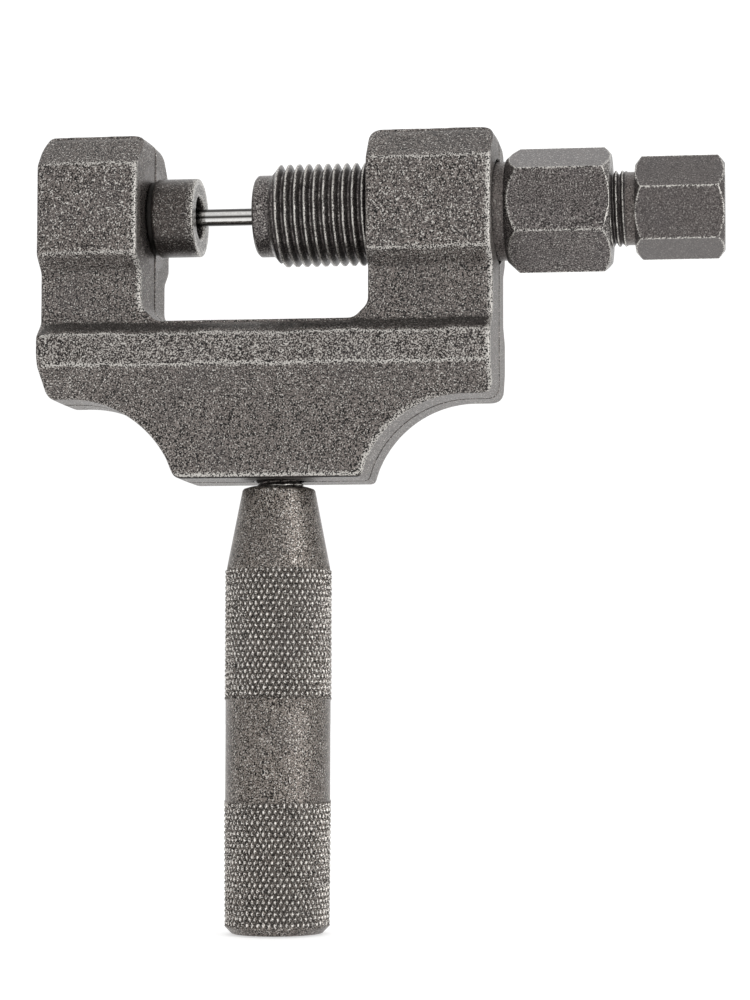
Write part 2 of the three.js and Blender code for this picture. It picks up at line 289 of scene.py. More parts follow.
def trace(points, rounding=0.15, closed=False):
    """Rows along a profile of (along, radius, step) points, with rounded corners.

    step is the spacing of rows on the stretch that ends at that point, ROW_STEP if it is left out.
    A corner's rounding takes at most a share, most, of the stretches beside it.
    """
    most = 0.45
    corners = [np.array(p[:2], float) for p in points]
    steps = [p[2] if len(p) > 2 else ROW_STEP for p in points]
    count = len(corners)
    runs = []
    for i, corner in enumerate(corners):
        if not closed and i in (0, count - 1):
            runs.append([corner])
            continue
        before = corners[i - 1] - corner
        after = corners[(i + 1) % count] - corner
        reach_before = min(rounding, most * np.linalg.norm(before))
        reach_after = min(rounding, most * np.linalg.norm(after))
        start = corner + before / np.linalg.norm(before) * reach_before
        end = corner + after / np.linalg.norm(after) * reach_after
        arc = []
        for t in (0, 0.25, 0.5, 0.75, 1):
            arc.append((1 - t) ** 2 * start + 2 * t * (1 - t) * corner + t**2 * end)
        runs.append(arc)
    rows = []
    for i, run in enumerate(runs):
        if i or closed:
            last = runs[i - 1][-1]
            divisions = max(1, math.ceil(np.linalg.norm(run[0] - last) / steps[i]))
            rows += [last + (run[0] - last) * k / divisions for k in range(1, divisions)]
        rows += run
    return np.array(rows)


def hex_angles(corner):
    """Angles round a circle, closest together at the six corners of a hexagon, one of them at corner."""
    half = np.array([0, 0.4, 1, 1.9, 3.2, 5, 7.2, 9.8, 12.8, 16, 19.5, 23, 26.5])
    sector = np.radians(np.concatenate([half, [30], 60 - half[:0:-1]]))
    return np.concatenate([corner + sector + k * math.pi / 3 for k in range(6)])


def even_angles(count):
    """Angles spread evenly round a circle."""
    return np.arange(count) * TAU / count


def bell(value, middle, width):
    """A bell curve: 1 at middle, falling away over width."""
    return np.exp(-(((value - middle) / width) ** 2))


def strips(n_rows, n_cols, closed=False):
    """Four-sided faces between rows of points that each run round a loop."""
    faces = []
    for r in range(n_rows if closed else n_rows - 1):
        here, there = r * n_cols, ((r + 1) % n_rows) * n_cols
        for c in range(n_cols):
            d = (c + 1) % n_cols
            faces.append((here + c, here + d, there + d, there + c))
    return faces


def revolve(name, rows, angles, axis, origin, reshape=None, closed=False, crease_degrees=35):
    """A turned object. reshape(along, radius, theta) returns the carved radius and the relief."""
    along = np.repeat(rows[:, :1], len(angles), axis=1)
    radius = np.repeat(rows[:, 1:2], len(angles), axis=1)
    theta = np.repeat(angles[None, :], len(rows), axis=0)
    relief = np.full(radius.shape, PLAIN)
    if reshape:
        radius, relief = reshape(along, radius, theta)
    across = radius * np.cos(theta)
    up = radius * np.sin(theta)
    parts = (along, across, up) if axis == "X" else (across, up, along)
    points = np.stack(parts, axis=-1).reshape(-1, 3) + np.array(origin)
    faces = strips(*radius.shape, closed)
    return build_object(name, points, faces, relief.reshape(-1), crease_degrees)


def smooth_between(thing, start, end):
    """Gives the second material to the faces between two places along X."""
    for face in thing.data.polygons:
        if start < face.center.x / MM < end:
            face.material_index = 1


def soft_min(a, b, width):
    """The lesser of two values, eased where they are within width of each other."""
    mix = np.clip(0.5 + 0.5 * (b - a) / width, 0, 1)
    return b + (a - b) * mix - width * mix * (1 - mix)


def ridge_wave(phase):
    """A triangle wave: 1 half way between whole phases, 0 at them."""
    return 1 - np.abs(2 * (phase % 1) - 1)


def cut_thread(along, radius, theta, thread):
    """Right-handed ridges that run out over the last turn, with bright crests and dark flanks."""
    phase = along / thread["pitch"] - theta / TAU - thread["start"]
    height = np.clip((ridge_wave(phase) - THREAD_FLAT) / (1 - 2 * THREAD_FLAT), 0, 1)
    depth = thread["crest"] - thread["root"]
    surface = thread["root"] + depth * height
    run_out = (along - thread["to"] + thread["pitch"]) / thread["pitch"]
    surface = np.maximum(surface, thread["root"] + depth * np.clip(run_out, 0, 1))
    inside = (along > thread["from"]) & (along < thread["to"])
    carved = np.where(inside, np.minimum(radius, surface), radius)
    # Crests are painted bright as painted highlights and flanks painted dark as painted shade.
    flank = 0.24
    relief = flank + (BRIGHT_WEAR_AND_HIGHLIGHT - flank) * height**4 + (PLAIN - flank) * (1 - height) ** 6
    return carved, np.where(inside, relief, PLAIN)


def cut_hexagon(along, radius, theta, hexagon, relief):
    """Six flats, eased where they meet the turned chamfers, with every edge rubbed bright."""
    ease, edge_width, corner_width = 0.12, 0.2, 0.15
    sector = (theta - hexagon["corner"]) % (math.pi / 3) - math.pi / 6
    flat = hexagon["across"] / 2 / np.cos(sector)
    inside = (along > hexagon["from"] - 0.01) & (along < hexagon["to"] + 0.01)
    carved = np.where(inside, soft_min(flat, radius, ease), radius)
    chamfer_edge = bell(flat, radius, edge_width)
    from_corner = (math.pi / 6 - np.abs(sector)) * hexagon["across"] / 2
    corner_edge = np.where(flat < radius, bell(from_corner, 0, corner_width), 0)
    marking = PLAIN + 0.46 * np.maximum(chamfer_edge, 0.9 * corner_edge)
    return carved, np.where(inside, np.maximum(relief, marking), relief)


# ---- Forged frame --------------------------------------------------------------------------------

FRAME_LOW, FRAME_HIGH = box_mm("forged_frame")
BASE, TOP = FRAME_LOW[2], FRAME_HIGH[2]
# Heights of the side profile's creases: the rib with its feet, then the raised part of the jaws.
RIB_LOWER_FOOT = BASE + 12.7
RIB_LOW = BASE + 17.4
RIB_HIGH = BASE + 22.1
RIB_UPPER_FOOT = BASE + 24.5
JAW_FOOT = BASE + 32.4
JAW_LOW = BASE + 34.8
JAW_HIGH = BASE + 48.7
HALF_CROWN, HALF_RAISED, HALF_RECESSED = 5.0, 9.9, 7.1
SIDE_PROFILE = [
    (BASE - 0.9, HALF_RECESSED),
    (RIB_LOWER_FOOT, HALF_RECESSED),
    (RIB_LOW, HALF_RAISED),
    (RIB_HIGH, HALF_RAISED),
    (RIB_UPPER_FOOT, HALF_RECESSED),
    (JAW_FOOT, HALF_RECESSED),
    (JAW_LOW, HALF_RAISED),
    (JAW_HIGH, HALF_RAISED),
    (TOP, HALF_CROWN),
    (TOP + 1, HALF_CROWN - 0.91),
]
# Creases, and how far each one's relief is above or below the faces beside it.
WORN_LINES = ((RIB_LOW, 0.46), (RIB_HIGH, 0.44), (JAW_LOW, 0.4), (JAW_HIGH, 0.44))
DARKENED_LINES = ((RIB_LOWER_FOOT, 0.1), (JAW_FOOT, 0.16))
LEFT_JAW_WIDTH, RIGHT_JAW_WIDTH = 16.4, 19.6
EDGE_RADIUS = 0.42
DRAFT = math.tan(math.radians(0.4))
# The parting groove: its depth, and the share of the half thickness within which its floor lies.
PARTING_DEPTH, PARTING_SHARE = 0.3, 0.056
# How much more than the draft the front's right-facing walls lean inwards towards the front.
LEFT_JAW_LEAN, RIGHT_JAW_LEAN = 0.058, 0.034


def half_depth(z):
    """The frame's half thickness at a height, with its creases eased."""
    heights, halves = zip(*SIDE_PROFILE)
    total = 0
    for shift in (-0.3, -0.14, 0, 0.14, 0.3):
        total = total + 0.2 * np.interp(z + shift, heights, halves)
    return total


def wander(x):
    """How far the creases stray from their heights along the frame, in millimetres."""
    return 0.1 * np.sin(0.31 * x + 1) + 0.07 * np.sin(0.83 * x) + 0.05 * np.sin(2.1 * x + 2)


def arch(centre, radius, crown, side):
    """A quarter of the body's underside, from its foot at the base up to its crown."""
    centre_z = crown - radius
    foot = math.asin((BASE - centre_z) / radius)
    turns = np.linspace(foot, math.pi / 2, 40)
    return [(centre + side * radius * math.cos(t), centre_z + radius * math.sin(t), 0) for t in turns]


def frame_outline():
    """The frame's outline seen from the front, clockwise from the base's left end.

    Corners are (x, z, radius). The last few points at the arches' ends give way to rounded corners.
    """
    left, right = FRAME_LOW[0], FRAME_HIGH[0]
    ear = BASE + 12.6
    left_ear = ear - 0.15
    slot_left, slot_right, floor = left + LEFT_JAW_WIDTH, right - RIGHT_JAW_WIDTH, BASE + 24.6
    bevel = 2.2
    left_arch = arch(left + 4.4, 17.6, left_ear, 1)
    right_arch = arch(right - 4.35, 16.5, ear, -1)[::-1]
    corners = [(*left_arch[0][:2], 1.2), *left_arch[6:]]
    corners += [(left + 1.7, left_ear, 0.5), (left + 1.0, left_ear + 0.9, 0.5), (left, left_ear + 5.9, 1.5)]
    corners += [(left, TOP - 2.4, 1.2), (left + 0.8, TOP - 0.1, 0.7), (slot_left, TOP, 2.2)]
    corners += [(slot_left, floor + bevel, 0.9), (slot_left + bevel, floor, 0.9)]
    corners += [(slot_right - bevel, floor, 0.9), (slot_right, floor + bevel, 0.9)]
    corners += [(slot_right, TOP, 2.2), (right, TOP, 2.2), (right, ear, 2.0)]
    corners += [*right_arch[:-4], (*right_arch[-1][:2], 0.7)]
    return np.array(even_loop(rounded_loop(corners), 0.45))


def rounded_loop(corners):
    """Replaces each corner (x, z, radius) by an arc-like curve that starts radius away from it."""
    loop = []
    for i, (x, z, radius) in enumerate(corners):
        corner = np.array((x, z))
        if radius == 0:
            loop.append(corner)
            continue
        before = np.array(corners[i - 1][:2]) - corner
        after = np.array(corners[(i + 1) % len(corners)][:2]) - corner
        start = corner + before / np.linalg.norm(before) * radius
        end = corner + after / np.linalg.norm(after) * radius
        for t in np.linspace(0, 1, 9):
            loop.append((1 - t) ** 2 * start + 2 * t * (1 - t) * corner + t**2 * end)
    return loop


def even_loop(points, spacing):
    """Points spread evenly along a closed loop, about spacing apart."""
    closed = np.array([*points, points[0]])
    lengths = np.linalg.norm(np.diff(closed, axis=0), axis=1)
    travelled = np.concatenate([[0], np.cumsum(lengths)])
    count = round(travelled[-1] / spacing)
    stops = np.arange(count) * travelled[-1] / count
    return np.stack([np.interp(stops, travelled, closed[:, k]) for k in (0, 1)], axis=1)


def inward_normals(loop):
    """The direction into the outline at each point of a clockwise loop."""
    tangent = np.roll(loop, -1, axis=0) - np.roll(loop, 1, axis=0)
    tangent = tangent / np.linalg.norm(tangent, axis=1)[:, None]
    return np.stack([tangent[:, 1], -tangent[:, 0]], axis=1)


def frame_grid(loop):
    """Points inside the loop, in rows that crowd together at the side profile's creases."""
    row_gap, column_gap, crowding = 0.5, 0.45, 0.17
    low, high = loop.min(axis=0), loop.max(axis=0)
    rows = list(np.arange(low[1], high[1], row_gap))
    for line, _ in WORN_LINES + DARKENED_LINES + ((RIB_UPPER_FOOT, 0),):
        rows = [z for z in rows if abs(z - line) > 2 * crowding + 0.08]
        rows += [line + k * crowding for k in (-2, -1, 0, 1, 2)]
    points = []
    for n, z in enumerate(sorted(rows)):
        start = low[0] + (0.22 if n % 2 else 0)
        points += [(x, z - wander(x)) for x in np.arange(start, high[0], column_gap)]
    return np.array(points)


def inside_loop(points, loop):
    """Which points lie inside the loop: those with an odd number of crossings to their right."""
    inside = np.zeros(len(points), bool)
    for a, b in zip(loop, np.roll(loop, -1, axis=0)):
        crosses = (a[1] > points[:, 1]) != (b[1] > points[:, 1])
        if crosses.any():
            x = a[0] + (points[crosses, 1] - a[1]) * (b[0] - a[0]) / (b[1] - a[1])
            inside[np.flatnonzero(crosses)[points[crosses, 0] < x]] ^= True
    return inside


def nearest_on(points, loop):
    """Each point's distance to the loop, and the number of the loop's nearest point."""
    tree = KDTree(len(loop))
    for i, (x, z) in enumerate(loop):
        tree.insert((x, 0, z), i)
    tree.balance()
    found = [tree.find((x, 0, z)) for x, z in points]
    return np.array([f[2] for f in found]), np.array([f[1] for f in found])


def edge_wear_and_highlight(normals, z):
    """The relief of rubbed edges all round, with painted highlight most at the right and under the base.

    Also says which edges are under the base.
    """
    outward = -normals
    # Painted highlight: brighter on right-facing edges, brightest under the base, none on edges facing up.
    wear_and_highlight = 0.6 + 0.3 * np.clip(outward[:, 0], 0, 1)
    wear_and_highlight = np.where((outward[:, 1] > 0.6) | (z > JAW_HIGH + 0.4), 0.48, wear_and_highlight)
    under_base = (outward[:, 1] < -0.6) & (z < BASE + 1)
    return np.where(under_base, 0.95, wear_and_highlight), under_base


def face_wear_and_shade(x, z, distance, rim_wear_and_highlight):
    """Relief of a front or back face: bright creases, scuffed rib, darker hollows, painted shade on top."""
    z = z + wander(x)
    marking = PLAIN + (rim_wear_and_highlight - PLAIN) * bell(distance, 0, 0.4)
    on_rib = (z > RIB_LOW) & (z < RIB_HIGH)
    marking = np.where(on_rib, np.maximum(marking, 0.63), marking)
    for line, strength in WORN_LINES:
        marking = np.maximum(marking, PLAIN + strength * bell(z, line, 0.26))
    for line, strength in DARKENED_LINES:
        marking = marking - strength * bell(z, line, 0.45)
    # Darker on the slope above the rib; painted shade on the jaws' top slope.
    above_rib = np.clip((z - RIB_HIGH - 0.2) / 0.3, 0, 1) * np.clip((RIB_UPPER_FOOT - 0.1 - z) / 0.3, 0, 1)
    crown = np.clip((z - JAW_HIGH - 0.5) / 0.4, 0, 1)
    return np.clip(marking - 0.3 * above_rib - 0.1 * crown, DARK, BRIGHT_WEAR_AND_HIGHLIGHT)


def forged_walls(loop, rim_wear_and_highlight, under_base):
    """Rows of points, and their relief, over the rounded edges and the walls from front to back."""
    normals = inward_normals(loop)
    jaw_lean = np.where(loop[:, 0] < 0, LEFT_JAW_LEAN, RIGHT_JAW_LEAN)
    front_lean = DRAFT + jaw_lean * np.clip(-normals[:, 0], 0, 1)
    half = half_depth(loop[:, 1] + wander(loop[:, 0]))
    points, relief = [], []

    def add_row(depth, inset, marking, side):
        lean = front_lean if side < 0 else DRAFT
        moved = loop + normals * (inset + np.abs(depth) * lean)[:, None]
        points.append(np.stack([moved[:, 0], side * depth, moved[:, 1]], axis=1))
        relief.append(marking)

    def add_edge(angle, side):
        """One row round the edge, dark where it turns under the base."""
        depth = half - EDGE_RADIUS * (1 - math.sin(angle))
        marking = np.where(under_base & (angle < 1), DARK, rim_wear_and_highlight)
        add_row(depth, EDGE_RADIUS * (1 - math.cos(angle)), marking, side)

    def add_wall(share, side):
        # The parting groove is painted dark: painted shade.
        in_groove = share < PARTING_SHARE
        marking = np.full(len(loop), 0.1 if in_groove else PLAIN)
        add_row((half - EDGE_RADIUS) * share, PARTING_DEPTH if in_groove else 0.0, marking, side)

    angles = [math.radians(a) for a in (90, 68, 45, 22, 0)]
    shares = [0.93, 0.82, 0.7, 0.58, 0.46, 0.34, 0.22, 0.15, 0.1, 0.066, 0.05]
    for angle in angles:
        add_edge(angle, -1)
    for share in shares:
        add_wall(share, -1)
    add_wall(0, 1)
    for share in shares[::-1]:
        add_wall(share, 1)
    for angle in angles[::-1]:
        add_edge(angle, 1)
    return points, relief


def forged_shell(loop):
    """Points, faces and relief of the whole forging before any machining."""
    rim_wear_and_highlight, under_base = edge_wear_and_highlight(inward_normals(loop), loop[:, 1])
    points, relief = forged_walls(loop, rim_wear_and_highlight, under_base)
    count, n_rows = len(loop), len(points)
    faces = strips(n_rows, count)
    rim = points[0][:, [0, 2]]
    grid = frame_grid(rim)
    grid = grid[inside_loop(grid, rim)]
    distance, nearest = nearest_on(grid, rim)
    rim_gap = 0.28
    kept = distance > rim_gap
    grid, distance, nearest = grid[kept], distance[kept], nearest[kept]
    flat = [Vector(p) for p in np.concatenate([rim, grid])]
    edges = [(i, (i + 1) % count) for i in range(count)]
    _, _, triangles, origins, _, _ = delaunay_2d_cdt(flat, edges, [], 1, 1e-6)
    x, z = grid.T
    marking = face_wear_and_shade(x, z, distance, rim_wear_and_highlight[nearest])
    depth = half_depth(z + wander(x))
    base = n_rows * count
    for side, rim_start in ((-1, 0), (1, (n_rows - 1) * count)):
        points.append(np.stack([x, side * depth, z], axis=1))
        relief.append(marking)
        sources = [source[0] for source in origins]
        lookup = [rim_start + k if k < count else base + k - count for k in sources]
        faces += [tuple(lookup[k] for k in t) for t in triangles]
        base += len(grid)
    return np.concatenate(points), faces, np.concatenate(relief)


def hammer(points):
    """Small unevenness that a forging die leaves, held within the outline's left and right ends."""
    moved = points.copy()
    for i, p in enumerate(points):
        coarse = noise.noise(Vector(p) * 0.16)
        fine = noise.noise(Vector(p) * 0.7)
        shrink = 0.03 * coarse + 0.018 * fine
        moved[i, 1] -= np.sign(p[1]) * (0.03 + shrink) * min(1, abs(p[1]) / 3)
        moved[i, 0] += shrink * 0.4 * (-1 if p[0] > 0 else 1)
    moved[:, 0] = np.clip(moved[:, 0], points[:, 0].min(), points[:, 0].max())
    return moved


def cylinder(name, axis, centre, radius, start, end, sides=96):
    """A solid cylinder along an axis, to cut with."""
    rows = np.array([(start, 0), (start, radius), (end, radius), (end, 0)])
    return revolve(name, rows, even_angles(sides), axis, centre)


def cut(thing, cutters):
    """Takes the cutters out of an object and deletes them."""
    for cutter in cutters:
        modifier = thing.modifiers.new("cut", "BOOLEAN")
        modifier.operation = "DIFFERENCE"
        modifier.solver = "EXACT"
        modifier.object = cutter
    graph = bpy.context.evaluated_depsgraph_get()
    mesh = bpy.data.meshes.new_from_object(thing.evaluated_get(graph))
    thing.modifiers.clear()
    old, thing.data = thing.data, mesh
    bpy.data.meshes.remove(old)
    for cutter in cutters:
        bpy.data.objects.remove(cutter)


def add_frame(forged, machined):
    anvil_back = box_mm("anvil_sleeve")[0][0]
    stud_top = box_mm("handle_stud")[1][2]
    left, right = FRAME_LOW[0], FRAME_HIGH[0]
    slot_left, slot_right = left + LEFT_JAW_WIDTH, right - RIGHT_JAW_WIDTH
    points, faces, relief = forged_shell(frame_outline())
    thing = build_object("forged_body", hammer(points), faces, relief)
    line = screw_line()
    past = 3
    bolt_bore = ("X", line, 8.1, slot_right - past, right + past)
    spigot_bore = ("X", line, 4.75, anvil_back - 0.2, slot_left + past)
    rivet_bore = ("X", line, 3.6, left - past, slot_left)
    stud_bore = ("Z", (0, 0, 0), 4.0, BASE - past, stud_top + 0.5)
    bores = (bolt_bore, spigot_bore, rivet_bore, stud_bore)
    cut(thing, [cylinder(f"cutter_{n}", *bore) for n, bore in enumerate(bores)])
    mesh = thing.data
    place(thing, "forged_frame", "frame", "forged_steel", forged, machined)
    centres = np.zeros(len(mesh.polygons) * 3)
    mesh.polygons.foreach_get("center", centres)
    centres = centres.reshape(-1, 3) / MM
    # The second material, the machined one, goes on the bores and on the walls close round the screw.
    near_screw = np.hypot(centres[:, 1], centres[:, 2] - line[2]) < 8.2
    in_stud_bore = (np.hypot(centres[:, 0], centres[:, 1]) < 4.02) & (centres[:, 2] < stud_top + 1)
    mesh.polygons.foreach_set("material_index", (near_screw | in_stud_bore).astype(np.int32))
    finish_shading(mesh, 32)


# ---- Turned pieces -------------------------------------------------------------------------------


def add_anvil(material):
    low, high = box_mm("anvil_sleeve")
    back, face = low[0], high[0]
    head = face - 6.5
    wall = FRAME_LOW[0] + LEFT_JAW_WIDTH + 0.02
    collar = 5.75
    rows = trace(
        [
            (back, 3.3),
            (back, 4.68),
            (wall, 4.68),
            (wall, collar, 0.4),
            (head, collar, 0.4),
            (head, 5.95, 0.4),
            (head + 0.25, 6.11, 0.3),
            (face - 0.14, 6.12),
            (face, 5.97, 0.2),
            (face, 3.6, 0.5),
            (face - 0.35, 3.3, 0.2),
        ],
        0.12,
        closed=True,
    )

    def reshape(along, radius, theta):
        edge = bell(along, face, 0.35) * (radius > 5.3)
        mouth = bell(radius, 3.55, 0.22) * (along > face - 0.5)
        on_face = (along > face - 0.02) & (radius > 3.5)
        marking = PLAIN + 0.45 * np.maximum(np.maximum(edge, mouth), 0.5 * on_face)
        # Painted shade in the bore; everything behind the head, the collar with it, is painted dark.
        in_bore = (along < face - 1) & (radius < 3.5)
        behind_head = along < head + 0.02
        return radius, np.where(in_bore | behind_head, DARK, marking)

    thing = revolve("anvil", rows, even_angles(128), "X", screw_line(), reshape, closed=True)
    place(thing, "anvil_sleeve", "frame", "machined_steel", material)


def add_outer_bolt(material, smooth):
    low, high = box_mm("outer_drive_bolt")
    x, end = low[0], high[0]
    neck, head = x + 37.2, x + 39.3
    crest, neck_radius, nose_radius, bore = 7.98, 7.62, 6.36, 5.98
    thread = {"from": x + 2.75, "to": x + 37, "crest": crest, "root": 6.95, "pitch": 1.5, "start": 0.45}
    hexagon = {"from": head, "to": end, "across": 16.86, "corner": math.radians(89)}
    step = thread["pitch"] / 12
    rows = trace(
        [
            (x, 1.5, 0.5),
            (x, 5.95, 0.6),
            (x + 0.4, nose_radius, 0.2),
            (x + 2.5, nose_radius, 0.5),
            (x + 2.9, 6.75, 0.15),
            (x + 3.9, crest, step),
            (neck - 0.6, crest, step),
            (neck, neck_radius, 0.2),
            (head, neck_radius),
            (head, 7.9, 0.3),
            (head + 2.4, 10.2, 0.07),
            (end - 1.5, 10.2, 0.9),
            (end, 8.4, 0.07),
            (end, 6.35, 0.5),
            (end - 0.4, bore, 0.2),
            (x + 30, bore),
            (x + 30, 4.3),
            (x + 7.4, 4.3),
            (x + 7.4, 1.5),
        ],
        0.1,
        closed=True,
    )

    def reshape(along, radius, theta):
        outside = radius > bore + 0.17
        carved, relief = cut_thread(along, radius, theta, thread)
        carved = np.where(outside, carved, radius)
        relief = np.where(outside, relief, PLAIN)
        carved, relief = cut_hexagon(along, carved, theta, hexagon, relief)
        end_chamfer = (along > end - 2.5) & (radius < 10.15) & (carved > radius - 0.03)
        relief = np.where(end_chamfer, np.maximum(relief, 0.72), relief)
        nose = (along < x + 2.6) & (radius > 5)
        relief = np.where(nose, 0.58, relief)
        # Painted shade in the bore.
        in_bore = (along > x + 1) & (radius < bore + 0.12) & (along < end - 0.5)
        return carved, np.where(in_bore, 0.1, relief)

    angles = hex_angles(hexagon["corner"])
    thing = revolve("outer_bolt", rows, angles, "X", screw_line(), reshape, closed=True)
    place(thing, "outer_drive_bolt", "outer_bolt", "machined_steel", material, smooth)
    smooth_between(thing, thread["to"], head)


def add_inner_bolt(material, smooth):
    low, high = box_mm("inner_drive_bolt")
    x, end = low[0], high[0]
    neck, head = x + 37.3, x + 38.5
    crest, neck_radius, dog_radius = 5.88, 5.62, 3.88
    thread = {"from": x + 12.9, "to": neck - 0.1, "crest": crest, "root": 5.28, "pitch": 1.0, "start": 0.0}
    hexagon = {"from": head, "to": end, "across": 13.78, "corner": math.radians(106.7)}
    step = thread["pitch"] / 10
    rows = trace(
        [
            (x, 0),
            (x, 3.5),
            (x + 0.5, dog_radius, 0.2),
            (x + 12.6, dog_radius),
            (x + 12.9, 5.0, 0.2),
            (x + 13.8, crest, step),
            (neck - 0.4, crest, step),
            (neck, neck_radius, 0.2),
            (head, neck_radius, 0.4),
            (head, 6.75, 0.4),
            (head + 1.4, 8.5, 0.07),
            (end - 1.45, 8.5, 0.9),
            (end, 6.7, 0.07),
            (end, 0, 1.0),
        ],
        0.1,
    )

    def reshape(along, radius, theta):
        carved, relief = cut_thread(along, radius, theta, thread)
        end_face = along > end - 0.1
        relief = np.where(end_face, 0.74, relief)
        return cut_hexagon(along, carved, theta, hexagon, relief)

    thing = revolve("inner_bolt", rows, hex_angles(hexagon["corner"]), "X", screw_line(), reshape)
    place(thing, "inner_drive_bolt", "inner_bolt", "machined_steel", material, smooth)
    smooth_between(thing, neck - 0.2, head)


def add_pin(material):
    low, high = box_mm("push_pin")
    pin_radius, head_radius = 1.33, 3.45
    tilt = math.radians(12)
    rows = trace(
        [
            (low[0], 0),
            (low[0], 1.12, 0.3),
            (low[0] + 0.2, pin_radius, 0.1),
            (high[0] - 3.2, pin_radius, 0.8),
            (high[0] - 3, head_radius - 0.05, 0.5),
            (high[0] - 0.3, head_radius),
            (high[0], 3.2, 0.3),
            (high[0], 0),
        ],
        0.08,
    )

    def reshape(along, radius, theta):
        """Painted dark reflections above and below, and along a streak near the middle, on a ground pin."""
        lift = np.arctan2(np.sin(theta), np.abs(np.cos(theta)))
        height = np.sin(lift + tilt)
        flank = np.clip((np.abs(height) - 0.6) / 0.14, 0, 1)
        streak = bell(height, 0.08, 0.2)
        return radius, PLAIN + (DARK - PLAIN) * np.maximum(flank, streak)

    thing = revolve("pin", rows, even_angles(120), "X", screw_line(), reshape)
    place(thing, "push_pin", "pin", "ground_steel", material)


def coil_centres(length, wire, active, per_turn):
    """How far along each step of a coil lies: a closed turn at both ends and active turns between."""
    turns = active + 2
    closed_end = 2 * wire * 1.02
    for i in range(turns * per_turn + 1):
        t = i / per_turn
        body = min(max((t - 1) / active, 0), 1)
        yield min(t, 1) * closed_end + body * (length - 2 * closed_end) + max(0, t - turns + 1) * closed_end


def add_spring(material):
    low, high = box_mm("return_spring")
    wire, mean = 0.38, 3.42
    sides, per_turn, active = 10, 40, 5
    centre_z = (low[2] + high[2]) / 2
    points = []
    for i, x in enumerate(coil_centres(high[0] - low[0] - 2 * wire, wire, active, per_turn)):
        angle = TAU * i / per_turn
        outward = np.array([0, math.cos(angle), math.sin(angle)])
        centre = np.array([low[0] + wire + x, 0, centre_z]) + outward * mean
        for a in even_angles(sides):
            points.append(centre + wire * (math.cos(a) * outward + math.sin(a) * np.array([1, 0, 0])))
    rows = len(points) // sides
    ends = [tuple(range(sides)), tuple(range(len(points) - sides, len(points)))]
    relief = np.full(len(points), PLAIN)
    thing = build_object("spring_coil", np.array(points), strips(rows, sides) + ends, relief, 60)
    thing.data.materials.append(material)
    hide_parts("return_spring")
    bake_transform(thing)


def add_stud(material):
    low, high = box_mm("handle_stud")
    ends = {"from": low[2] + 0.3, "to": high[2] - 0.2}
    crest = 3.85
    thread = {**ends, "crest": crest, "root": 3.2, "pitch": 1.25, "start": 0.0}
    rows = trace(
        [
            (low[2], 0),
            (low[2], 3.1),
            (low[2] + 0.8, crest, 0.1),
            (high[2] - 0.8, crest, 0.11),
            (high[2], 3.1, 0.1),
            (high[2], 0),
        ],
        0.1,
    )

    def reshape(along, radius, theta):
        return cut_thread(along, radius, theta, thread)

    thing = revolve("stud", rows, even_angles(72), "Z", (0, 0, 0), reshape)
    place(thing, "handle_stud", "stud", "machined_steel", material)


def add_handle(material):
    low, high = box_mm("knurled_handle")
    outer = (high[0] - low[0]) / 2
    top = high[2]
    teeth, depth = 55, 0.45
    period = TAU * outer / teeth / math.tan(math.radians(28.9))
    bands = ((1.15, 20.3), (36.0, 56.25))
    fine = 0.165
    knurl_top, plain = outer - 0.02, outer - 0.17
    bore, bore_end = 4.05, 54
    rows = trace(
        [
            (0, 0),
            (0, 7.05, 0.9),
            (1.1, knurl_top - 0.15, 0.25),
            (20.3, knurl_top, fine),
            (20.5, plain, 0.1),
            (35.8, plain, 1.5),
            (36.0, knurl_top, 0.1),
            (55.9, knurl_top, fine),
            (56.1, 8.07, 0.1),
            (68.4, 5.68, 0.9),
            (68.7, 5.45, 0.15),
            (top, 4.5, 0.2),
            (top, bore, 0.6),
            (bore_end, bore, 3),
            (bore_end, 0),
        ],
        0.06,
    )

    def reshape(along, radius, theta):
        """Two crossing sets of grooves that fade out at the ends of each band."""
        around = teeth * theta / TAU
        groove = 1 - np.minimum(ridge_wave(around + along / period), ridge_wave(around - along / period))
        cut_in = np.clip((groove - 0.22) / 0.78, 0, 1)
        fade = np.zeros_like(along)
        for start, end in bands:
            rise = np.clip((along - start) / 0.35, 0, 1)
            fall = np.clip((end - along) / 0.3, 0, 1)
            fade = np.maximum(fade, rise * fall)
        fade = fade * (radius > 5)
        # Knurl tips are painted bright, rubbed and with painted highlight; grooves painted dark as painted
        # shade.
        relief = PLAIN + fade * (BRIGHT_WEAR_AND_HIGHLIGHT - PLAIN - cut_in**1.15)
        # Painted shade in the stud's bore.
        in_bore = (radius < 4.5) & (along > 10)
        return radius - depth * cut_in * fade, np.where(in_bore, 0.1, relief)

    thing = revolve("handle", rows, even_angles(teeth * 6), "Z", (0, 0, 0), reshape, crease_degrees=80)
    place(thing, "knurled_handle", "handle", "knurled_steel", material)


# ---- Materials -----------------------------------------------------------------------------------


# The bright colour for wear, painted highlights and painted glints.
WEAR_AND_HIGHLIGHT_COLOUR = (0.5, 0.48, 0.45)
# The dark colour for painted shade, painted dark reflections and other darkening.
PAINTED_DARK = (0.012, 0.011, 0.01)


